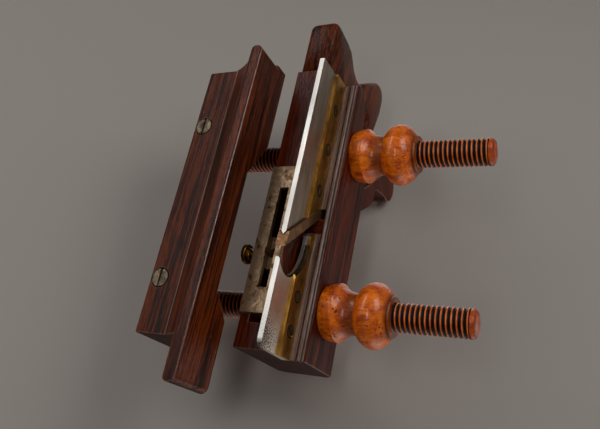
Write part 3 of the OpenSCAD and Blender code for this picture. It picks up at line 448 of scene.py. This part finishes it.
def makeAgedBrass(name, stops):
    material, tree = newMaterial(name)
    place = addNode(tree, "TexCoord")
    drawn = addNode(tree, "Mapping", {}, {
        "Vector": place.outputs["Object"], "Scale": brass["clouds"]})
    clouds = addNode(tree, "TexNoise", {}, {
        "Vector": drawn.outputs["Vector"], "Scale": 1.0, "Detail": 6.0, "Roughness": 0.65, "Distortion": 0.5})
    tarnish = addNode(tree, "ValToRGB", inputs={"Fac": clouds.outputs["Fac"]}, stops=stops)
    rough = addNode(tree, "MapRange", {}, {
        "Value": clouds.outputs["Fac"], "From Min": 0.35, "From Max": 0.65, "To Min": 0.46, "To Max": 0.3})
    scuffs = addNode(tree, "TexNoise", {}, {
        "Vector": place.outputs["Object"], "Scale": 1 / (brass["scuff"] * mm), "Detail": 3.0, "Roughness": 0.6})
    bump = addNode(tree, "Bump", {}, {"Strength": 0.15, "Distance": 0.00005, "Height": scuffs.outputs["Fac"]})
    shader = addNode(tree, "BsdfPrincipled", {}, {
        "Base Color": tarnish.outputs["Color"], "Metallic": 1.0, "Roughness": rough.outputs["Result"],
        "Normal": bump.outputs["Normal"]})
    closeMaterial(tree, shader)
    return material


# From each metal's darkest tarnish to where it is rubbed. The iron has a brown skin and the stop a paler one,
# and the arch's filed rim is painted nearly black as shade in its hollow.
shades = {
    "plate": [(0.34, "#7a511f"), (0.5, "#b08236"), (0.66, "#d6a956")],
    "turned": [(0.34, "#2a1a06"), (0.5, "#5b3b10"), (0.66, "#a37427")],
    "iron": [(0.36, "#422e1f"), (0.48, "#77543a"), (0.6, "#95704f"), (0.7, "#ab8e70")],
    "stop": [(0.34, "#543f2d"), (0.46, "#8c7256"), (0.56, "#a68b70"), (0.7, "#c4b098")],
    "screw": [(0.36, "#33270f"), (0.5, "#665331"), (0.64, "#8e784c")],
    "bolt": [(0.36, "#352c22"), (0.5, "#685a4a"), (0.64, "#8f806c")],
    "archRim": [(0.36, "#0b0704"), (0.5, "#1d140c"), (0.66, "#42342a")],
}
# The middle of each head's face, and the head's radius
screwHeads = {"places": [(3.9, y, 28.3) for y in (-76.0, -44.49, -12.98, 62.3, 85.1)], "radius": 4.2}
boltHeads = {"places": [(-86.2, y, 1.0) for y in armPlaces.values()], "radius": 6.8}
materials = {
    "stock": makeRosewood("oiledRosewoodStock"),
    # Painted sheen on the stock's moulding and on the step over the fence's hollow
    "moulding": makeRosewood("rosewoodPaintedSheen", "paintedSheen", sheen=0.5),
    # Arrises: rubbed paler, and lighter still as a painted highlight
    "arris": makeRosewood("rubbedRosewoodArrisHighlight", "rubbed", sheen=1.0),
    "tote": makeRosewood("oiledRosewoodTote", "warm", (9, 0, 4), (40, 15, 7), 0.0),
    "wedge": makeRosewood("oiledRosewoodWedge", "dark", (-43, 0, 0), (12, 30, 3), 0.0),
    "fence": makeRosewood("oiledRosewoodFence", "warm", (0, 0, 0), (33, 71, 19)),
    "nut_rear": makeBoxwood("turnedBoxwoodRear", arms["rearY"]),
    "nut_front": makeBoxwood("turnedBoxwoodFront", arms["frontY"]),
    "arm_rear": makeThreadWood("threadedBoxwoodRear", arms["rearY"]),
    "arm_front": makeThreadWood("threadedBoxwoodFront", arms["frontY"]),
    "skateFront": makeSkateSteel("groundSkateSteelFrontLit", "front"),
    "skateRear": makeSkateSteel("groundSkateSteelRear", "rear"),
    "iron": makeMottledMetal("forgedIronSteel", shades["iron"], 5, "#a4562f", 0.72),
    "stop": makeMottledMetal("milledStopSteel", shades["stop"], 7, "#3d2719", 0.62),
    "brassPlate": makeAgedBrass("rolledBrassPlate", shades["plate"]),
    "brass": makeAgedBrass("turnedBrass", shades["turned"]),
    "screws": makeMottledMetal("bronzeScrewHeads", shades["screw"], 4, heads=screwHeads),
    "topScrews": makeMottledMetal("bronzeTopScrews", shades["screw"], 4),
    "bolts": makeMottledMetal("bronzeFenceBolts", shades["bolt"], 4, heads=boltHeads),
    "archRim": makeMottledMetal("hollowedArchRimShade", shades["archRim"], 4),
}
print("materials made:", len(materials))


# Turns a finished bmesh into a piece that rides on its body and stands for its CAD node
def finishPiece(bm, name, material, body, node, smooth=40):
    mesh = bpy.data.meshes.new(name)
    bm.to_mesh(mesh)
    bm.free()
    mesh.materials.append(material)
    mesh.shade_smooth()
    mesh.set_sharp_from_angle(angle=radians(smooth))
    piece = bpy.data.objects.new(name, mesh)
    scene.collection.objects.link(piece)
    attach(piece, body)
    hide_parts(node)
    return piece


# Pieces whose solids are right get a copy with eased arrises, which catch the light as worn ones do.
# The tote is rounded all over as it is. Each row holds the piece's material and slot, the width of its easing,
# and the materials that some of its faces get.
easing = {
    "stock": ("stock", "rosewood", 0.45, "arris", "moulding"),
    "skate_front": ("skateFront", "skate_steel", 0.15, "archRim"),
    "skate_rear": ("skateRear", "skate_steel", 0.15),
    "plate_front": ("brassPlate", "brass", 0.15, "archRim"),
    "plate_rear": ("brassPlate", "brass", 0.15),
    "plate_screws_front": ("screws", "screw_bronze", 0.12),
    "plate_screws_rear": ("screws", "screw_bronze", 0.12),
    "iron": ("iron", "iron_steel", 0.2),
    "wedge": ("wedge", "rosewood", 0.5, "arris"),
    "tote": ("tote", "rosewood", 0),
    "depth_stop": ("stop", "stop_steel", 0.25),
    "stop_screw": ("brass", "brass", 0.25),
    "stop_top_plate": ("brass", "brass", 0.15),
    "top_plate_screws": ("topScrews", "screw_bronze", 0.12),
    "lock_bush": ("brass", "brass", 0.15),
    "lock_screw": ("brass", "brass", 0.25),
    "fence": ("fence", "rosewood", 0.5, "arris", "moulding"),
    "fence_bolt_front": ("bolts", "screw_bronze", 0.2),
    "fence_bolt_rear": ("bolts", "screw_bronze", 0.2),
}


# Where triangles of one flat lie folded over each other, the flat is filled again from its outline
fold = {"parallel": 0.999, "same": 0.9999, "level": 0.01 * mm, "leastArea": 0.01 * mm * mm}


def refillFlats(bm):
    flats = []

    def known(normal, level):
        return any(abs(n.dot(normal)) > fold["same"] and abs(n.dot(normal) * d - level) < fold["level"]
                   for n, d in flats)

    for edge in bm.edges:
        faces = edge.link_faces
        folded = len(faces) == 2 and faces[0].normal.dot(faces[1].normal) < -fold["parallel"]
        if folded and min(f.calc_area() for f in faces) > fold["leastArea"]:
            normal = faces[0].normal.copy()
            level = normal.dot(edge.verts[0].co)
            if not known(normal, level):
                flats.append((normal, level))
    for normal, level in flats:
        def lies(vert):
            return abs(normal.dot(vert.co) - level) < fold["level"]

        flat = [f for f in bm.faces if abs(f.normal.dot(normal)) > fold["parallel"] and all(lies(v) for v in f.verts)]
        bmesh.ops.delete(bm, geom=flat, context="FACES_ONLY")
        bmesh.ops.delete(bm, geom=[e for e in bm.edges if e.is_wire], context="EDGES")
        rim = [e for e in bm.edges if e.is_boundary and lies(e.verts[0]) and lies(e.verts[1])]
        bmesh.ops.triangle_fill(bm, edges=rim, use_beauty=True, use_dissolve=False, normal=normal)
    if flats:
        bmesh.ops.recalc_face_normals(bm, faces=bm.faces)


# An arris is left as it is where two of them run together at a narrow angle, because a bevel would throw a spike
arris = {"least": radians(35), "most": radians(130), "narrow": radians(24)}


def weighArrises(bm):
    weight = bm.edges.layers.float.new("bevel_weight_edge")
    for edge in bm.edges:
        edge[weight] = 1.0 if arris["least"] < edge.calc_face_angle(0) < arris["most"] else 0.0
    narrow = set()
    for face in bm.faces:
        for loop in face.loops:
            before = loop.link_loop_prev.edge
            if loop.edge[weight] and before[weight] and loop.calc_angle() < arris["narrow"]:
                narrow.update((loop.edge, before))
    for edge in narrow:
        edge[weight] = 0.0


# The arch is an oval, filed to a hollow rim on the side where the shavings come out
arch = {
    "y": 26,
    "z": 12,
    "reach": 27.3,
    "rise": 17.6,
    "rim": 1.1,
    "faces": {"skate_front": 1.8, "plate_front": 3.9},
}


def fileArchRim(bm, faceX):
    def onArch(vert):
        x, y, z = vert.co / mm
        oval = hypot((y - arch["y"]) / arch["reach"], (z - arch["z"]) / arch["rise"])
        return abs(x - faceX) < 0.02 and abs(oval - 1) < 0.01

    rim = [e for e in bm.edges if onArch(e.verts[0]) and onArch(e.verts[1])]
    # The rim takes the nearly black rim material, as painted shade in the hollow
    bmesh.ops.bevel(bm, geom=rim, offset=arch["rim"] * mm, offset_type="OFFSET", affect="EDGES", segments=3,
                    profile=0.3, material=1, clamp_overlap=False)


# The stock's moulding and the step over the fence's hollow get a painted sheen, and the leg's arris is rubbed, with a
# painted highlight.
# Each row holds the material, the ranges of X and Z for the middle of a face, and its normal's greatest Z.
sheenAndWornFaces = {
    "stock": [("moulding", (2, 13.6), (32.5, 36.8), 0.3), ("moulding", (-50, 13.6), (32.5, 36.8), -0.99)],
    "fence": [("arris", (-35.6, -34.4), (-30, -22.5), -0.2), ("moulding", (-72, -65), (-0.6, 0.6), -0.6)],
}


def markSheenAndWornFaces(mesh, node, keys):
    for face in mesh.polygons:
        x, _, z = face.center / mm
        for key, (left, right), (low, high), tilt in sheenAndWornFaces.get(node, ()):
            if left < x < right and low < z < high and face.normal.z < tilt:
                face.material_index = keys.index(key)


ease = {"weld": 0.002 * mm, "flat": radians(0.3), "smooth": 35, "segments": 2}


def easeArrises(node, materialKey, slot, width, *others):
    bm = bmesh.new()
    bm.from_mesh(frame["nodes"][node].data)
    bmesh.ops.remove_doubles(bm, verts=bm.verts, dist=ease["weld"])
    refillFlats(bm)
    if width:
        bmesh.ops.dissolve_limit(bm, angle_limit=ease["flat"], verts=bm.verts, edges=bm.edges)
    if node in arch["faces"]:
        fileArchRim(bm, arch["faces"][node])
    weighArrises(bm)
    body = frame["nodes"][node]["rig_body"]
    piece = finishPiece(bm, node + "_eased", materials[materialKey], body, node, smooth=ease["smooth"])
    for key in others:
        piece.data.materials.append(materials[key])
    keys = [materialKey, *others]
    markSheenAndWornFaces(piece.data, node, keys)
    if not width:
        return
    bevel = piece.modifiers.new("eased", "BEVEL")
    bevel.width = width * mm
    bevel.segments = ease["segments"]
    bevel.limit_method = "WEIGHT"
    bevel.use_clamp_overlap = False
    # The wood's eased arrises take the rubbed colour, wear together with a painted highlight
    if "arris" in keys:
        bevel.material = keys.index("arris")
    # Flats keep their own normals, so only the eased arrises shade as round
    weighted = piece.modifiers.new("flats", "WEIGHTED_NORMAL")
    weighted.keep_sharp = True
    weighted.weight = 100


for node, row in easing.items():
    easeArrises(node, *row)
print("eased pieces:", len(easing))


# A turned piece: an outline of (distance along the arm, radius) spun about the arm's axis
def turnOutline(outline, y, steps=96, z=arms["z"]):
    bm = bmesh.new()
    verts = [bm.verts.new(Vector((x, y, z + r)) * mm) for x, r in outline]
    edges = [bm.edges.new(pair) for pair in zip(verts, verts[1:])]
    bmesh.ops.spin(bm, geom=verts + edges, cent=Vector((0, y, z)) * mm, axis=(1, 0, 0),
                   angle=2 * pi, steps=steps, use_merge=True)
    bmesh.ops.remove_doubles(bm, verts=bm.verts, dist=0.001 * mm)
    bmesh.ops.recalc_face_normals(bm, faces=bm.faces)
    return bm


# The arms are shaped about the frame's own X axis: one turn of the thread is spun, and copied along the arm
def shapeArm():
    pitch = arms["pitch"]
    depth = arms["crest"] - arms["root"]
    turns = int((arms["rightEnd"] - arms["leftEnd"]) / pitch) + 2
    startX = arms["leftEnd"] - 1.5 * pitch
    # One pitch of the thread: a narrow root, straight flanks and a rounded crest
    shape = [(0.0, 0.0), (0.1, 0.0), (0.4, 0.84), (0.47, 0.97), (0.55, 1.0), (0.63, 0.97), (0.7, 0.84), (1.0, 0.0)]
    bm = bmesh.new()
    verts = [bm.verts.new(Vector((startX + t * pitch, 0, arms["root"] + h * depth)) * mm) for t, h in shape]
    edges = [bm.edges.new(pair) for pair in zip(verts, verts[1:])]
    steps = arms["stepsPerTurn"]
    bmesh.ops.spin(bm, geom=verts + edges, cent=(0, 0, 0), axis=(1, 0, 0), dvec=(pitch / steps * mm, 0, 0),
                   angle=2 * pi, steps=steps)
    turn = bm.verts[:] + bm.edges[:] + bm.faces[:]
    for i in range(1, turns):
        copied = bmesh.ops.duplicate(bm, geom=turn)["geom"]
        bmesh.ops.translate(bm, verts=[g for g in copied if isinstance(g, bmesh.types.BMVert)],
                            vec=(i * pitch * mm, 0, 0))
    bmesh.ops.remove_doubles(bm, verts=bm.verts, dist=0.02 * mm)
    shoulder = arms["rightEnd"] - arms["button"]
    for x, side in ((arms["leftEnd"], -1), (shoulder, 1)):
        bmesh.ops.bisect_plane(bm, geom=bm.verts[:] + bm.edges[:] + bm.faces[:], plane_co=(x * mm, 0, 0),
                               plane_no=(side, 0, 0), clear_outer=True)
        rim = [e for e in bm.edges if e.is_boundary and abs(e.verts[0].co.x - x * mm) < 0.01 * mm]
        bmesh.ops.holes_fill(bm, edges=rim)
    bmesh.ops.recalc_face_normals(bm, faces=bm.faces)
    # The button that ends the arm, a little domed
    r = arms["buttonRadius"]
    rim = arms["buttonRound"]
    end = arms["rightEnd"] - arms["dome"]
    line = [(shoulder - 0.6, 0), (shoulder - 0.6, r - 0.8), (shoulder, r - 0.7), (shoulder + 0.5, r - 0.1)]
    line += [(end - rim + rim * sin(a), r - rim + rim * cos(a)) for a in (radians(15 * i) for i in range(6))]
    line += [(arms["rightEnd"] - arms["dome"] * t * t, (r - rim * 0.8) * t) for t in (0.8, 0.55, 0.3, 0.0)]
    button = turnOutline(line, 0, 64, 0)
    mesh = bpy.data.meshes.new("button")
    button.to_mesh(mesh)
    button.free()
    bm.from_mesh(mesh)
    bpy.data.meshes.remove(mesh)
    return bm


def placeArm(shaped, y):
    bm = shaped.copy()
    bmesh.ops.translate(bm, verts=bm.verts, vec=Vector((0, y, arms["z"])) * mm)
    return bm


shapedArm = shapeArm()
for side, y in armPlaces.items():
    finishPiece(placeArm(shapedArm, y), "threaded_arm_" + side, materials["arm_" + side], "fence",
                "arm_" + side, smooth=50)
shapedArm.free()
print("arms threaded")


# Nuts: cushion, sharp ridge, hollow neck, flattened ball, quirk and bead
nut = {
    "seat": 14.9,
    "bore": 9.56,
    "base": 17.7,
    "ridge": 19.4,
    "baseLength": 9.5,
    "neck": 13.8,
    "ball": 21.4,
    "ballHalf": 14.0,
    "ballMiddle": 33.3,
    "collar": 13.2,
    "collarLength": 2.0,
    "beadLength": 0.95,
    "beadRise": 0.9,
    "beadDrop": 0.85,
}


def nutOutline():
    cove = nut["baseLength"] + 1.1
    ballStart = asin(nut["neck"] / nut["ball"])
    ballEnd = pi - asin(nut["collar"] / nut["ball"])
    neckEnd = nut["ballMiddle"] - nut["ballHalf"] * cos(ballStart)
    end = nut["ballMiddle"] + nut["ballHalf"] * sqrt(1 - (nut["collar"] / nut["ball"]) ** 2) + nut["collarLength"]
    line = [(0, nut["bore"]), (0, nut["base"] - 0.5), (0.5, nut["base"] + 0.1)]
    line += [(nut["baseLength"] * t, nut["base"] + (nut["ridge"] - nut["base"]) * sin(pi / 2 * t))
             for t in (i / 14 for i in range(2, 14))]
    # The ridge is left crisp, with a short flank that falls into the hollow
    line += [(nut["baseLength"] - 0.1, nut["ridge"]), (nut["baseLength"] + 0.15, nut["ridge"] - 0.1),
             (cove, nut["ridge"] - 1.1)]
    line += [(cove + (neckEnd - cove) * t, nut["neck"] + (nut["ridge"] - 1.2 - nut["neck"]) * (1 - t) ** 3)
             for t in (i / 20 for i in range(1, 20))]
    line += [(nut["ballMiddle"] - nut["ballHalf"] * cos(ballStart + (ballEnd - ballStart) * i / 48),
              nut["ball"] * sin(ballStart + (ballEnd - ballStart) * i / 48)) for i in range(0, 49)]
    beadX = end - nut["beadLength"]
    beadR = nut["collar"] - nut["beadDrop"]
    line += [(beadX + nut["beadLength"] * cos(a), beadR + nut["beadRise"] * sin(a))
             for a in (radians(150 - 15 * i) for i in range(11))]
    line += [(end, nut["bore"])]
    return [(nut["seat"] + x, r) for x, r in line] + [(nut["seat"], nut["bore"])]


# Lock nuts, between the stock and the fence: a band, a cove and a bead
lockNut = {
    "face": -25.2,
    "radius": 17.0,
    "length": 10.8,
    "bore": 9.56,
    "band": 3.2,
    "cove": 2.4,
    "coveDepth": 2.6,
    "bead": 2.6,
    "beadDrop": 4.2,
}


def lockNutOutline():
    r = lockNut["radius"]
    length = lockNut["length"]
    band = lockNut["band"]
    bead = lockNut["bead"]
    line = [(0, lockNut["bore"]), (0, r - 1), (0.3, r - 0.3), (1, r), (band, r)]
    line += [(band + lockNut["cove"] * t, r - lockNut["coveDepth"] * sin(pi / 2 * t))
             for t in (i / 8 for i in range(1, 9))]
    line += [(length - bead + bead * sin(a), r - lockNut["beadDrop"] + bead * cos(a))
             for a in (radians(10 * i) for i in range(0, 10))]
    line += [(length, lockNut["bore"]), (0, lockNut["bore"])]
    return [(lockNut["face"] - x, radius) for x, radius in line]


for kind, outline in (("nut_", nutOutline()), ("lock_nut_", lockNutOutline())):
    for side, y in armPlaces.items():
        node = kind + side
        finishPiece(turnOutline(outline, y), "turned_" + node, materials["nut_" + side], node, node)
print("nuts turned")


# Stage: a floor under the plane for views from above, and a backdrop on its top side for the main view.
# Reflections pass the floor, which lies closer than the soft box that lights the sole, and meet the world instead.
stage = {"paper": "#a09993", "size": 40.0, "gap": 0.2 * mm, "lean": Vector((-0.38, 0.2, 0.9)).normalized()}


# Matt studio paper: one plain pale shade with no gloss. It takes light and shadow, and is seen from the front only.
# It stops no light and throws none back, and only the backdrop is mirrored.
def makePaper(name, mirrored):
    material, tree = newMaterial(name)
    side = addNode(tree, "NewGeometry")
    path = addNode(tree, "LightPath")
    glossy = addNode(tree, "Math", {"operation": "MULTIPLY"}, {0: path.outputs["Is Glossy Ray"], 1: mirrored})
    seen = addNode(tree, "Math", {"operation": "MAXIMUM"}, {
        0: path.outputs["Is Camera Ray"], 1: glossy.outputs["Value"]})
    hidden = addNode(tree, "Math", {"operation": "SUBTRACT"}, {0: 1.0, 1: seen.outputs["Value"]})
    away = addNode(tree, "Math", {"operation": "MAXIMUM"}, {
        0: side.outputs["Backfacing"], 1: hidden.outputs["Value"]})
    paper = addNode(tree, "BsdfDiffuse", {}, {"Color": colour(stage["paper"])})
    clear = addNode(tree, "BsdfTransparent")
    mixed = addNode(tree, "MixShader", {}, {
        0: away.outputs["Value"], 1: paper.outputs["BSDF"], 2: clear.outputs["BSDF"]})
    addNode(tree, "OutputMaterial", inputs={"Surface": mixed.outputs["Shader"]})
    return material


def addStagePlane(name, centre, normal, material):
    bm = bmesh.new()
    bmesh.ops.create_grid(bm, x_segments=1, y_segments=1, size=stage["size"] / 2)
    turn = Vector((0, 0, 1)).rotation_difference(normal).to_matrix().to_4x4()
    bm.transform(Matrix.Translation(centre) @ turn)
    mesh = bpy.data.meshes.new(name)
    bm.to_mesh(mesh)
    bm.free()
    mesh.materials.append(material)
    plane = bpy.data.objects.new(name, mesh)
    scene.collection.objects.link(plane)


lowest = cadBox[0][2]
farthest = max(v.co.dot(stage["lean"]) for o in frame["nodes"].values() for v in o.data.vertices)
addStagePlane("floor", Vector((0, 0, lowest - stage["gap"])), Vector((0, 0, 1)), makePaper("paperFloor", 0.0))
addStagePlane("backdrop", stage["lean"] * (farthest + stage["gap"]), -stage["lean"], makePaper("paperBackdrop", 1.0))
print("stage set")


# Soft boxes. A "place" runs from the middle along the camera's right, up and back, a "world" along the frame's axes.
# The large one overhead shows in the sole, the mouldings and the arrises, the one by the camera in the nuts' necks,
# and toeSheen in the toe's half of the faces on the nuts' side. The two above light the views from over the floor.
lampMiddle = Vector((0, 0, 40)) * mm
lamps = {
    "overhead": {"world": (-0.46, -0.4, -0.755), "size": (0.26, 0.8), "long": "Y", "power": 2.2},
    "upperRight": {"place": (0.5, 0.46, 0.5), "size": (0.35, 0.5), "long": "up", "power": 2.6},
    "byCamera": {"place": (-0.26, 0.16, 0.92), "size": (0.14, 0.5), "long": "up", "power": 1.4},
    "left": {"place": (-0.85, 0.1, 0.2), "size": (0.2, 0.7), "long": "up", "power": 0.5},
    "toeSheen": {"world": (0.42, 0.03, 0.48), "size": (0.3, 0.24), "long": "Y", "power": 0.5},
    "aboveKey": {"world": (-0.2, -0.75, 0.75), "size": (0.6, 0.6), "long": "Y", "power": 6.0},
    "aboveFill": {"world": (0.3, 0.75, 0.7), "size": (0.6, 0.6), "long": "Y", "power": 3.5},
}


def addLamp(name, lamp):
    if "world" in lamp:
        away = Vector(lamp["world"])
    else:
        right, up, back = lamp["place"]
        away = view["right"] * right + view["up"] * up + view["back"] * back
    data = bpy.data.lights.new(name, "AREA")
    data.shape = "RECTANGLE"
    data.size, data.size_y = lamp["size"]
    data.energy = lamp["power"]
    light = bpy.data.objects.new(name, data)
    scene.collection.objects.link(light)
    facing = away.normalized()
    long = Vector((0, 1, 0)) if lamp["long"] == "Y" else view["up"]
    long = (long - facing * long.dot(facing)).normalized()
    turn = Matrix((long.cross(facing), long, facing)).transposed()
    light.matrix_world = Matrix.Translation(lampMiddle + away) @ turn.to_4x4()


for name, lamp in lamps.items():
    addLamp(name, lamp)


# The studio's walls: a plain level of light, a little stronger where it is seen or mirrored
walls = {"shade": "#c6c4c2", "light": 0.2, "seen": 0.24}


def addWorld():
    world = bpy.data.worlds.new("studio")
    world.use_nodes = True
    tree = world.node_tree
    sky = tree.nodes["Background"]
    sky.inputs["Color"].default_value = colour(walls["shade"])
    path = addNode(tree, "LightPath")
    seen = addNode(tree, "Math", {"operation": "MAXIMUM"}, {
        0: path.outputs["Is Camera Ray"], 1: path.outputs["Is Glossy Ray"]})
    strength = addNode(tree, "MapRange", {}, {
        "Value": seen.outputs["Value"], "To Min": walls["light"], "To Max": walls["seen"]})
    tree.links.new(strength.outputs["Result"], sky.inputs["Strength"])
    scene.world = world


addWorld()
scene.view_settings.view_transform = "Standard"
print("lamps and world set")
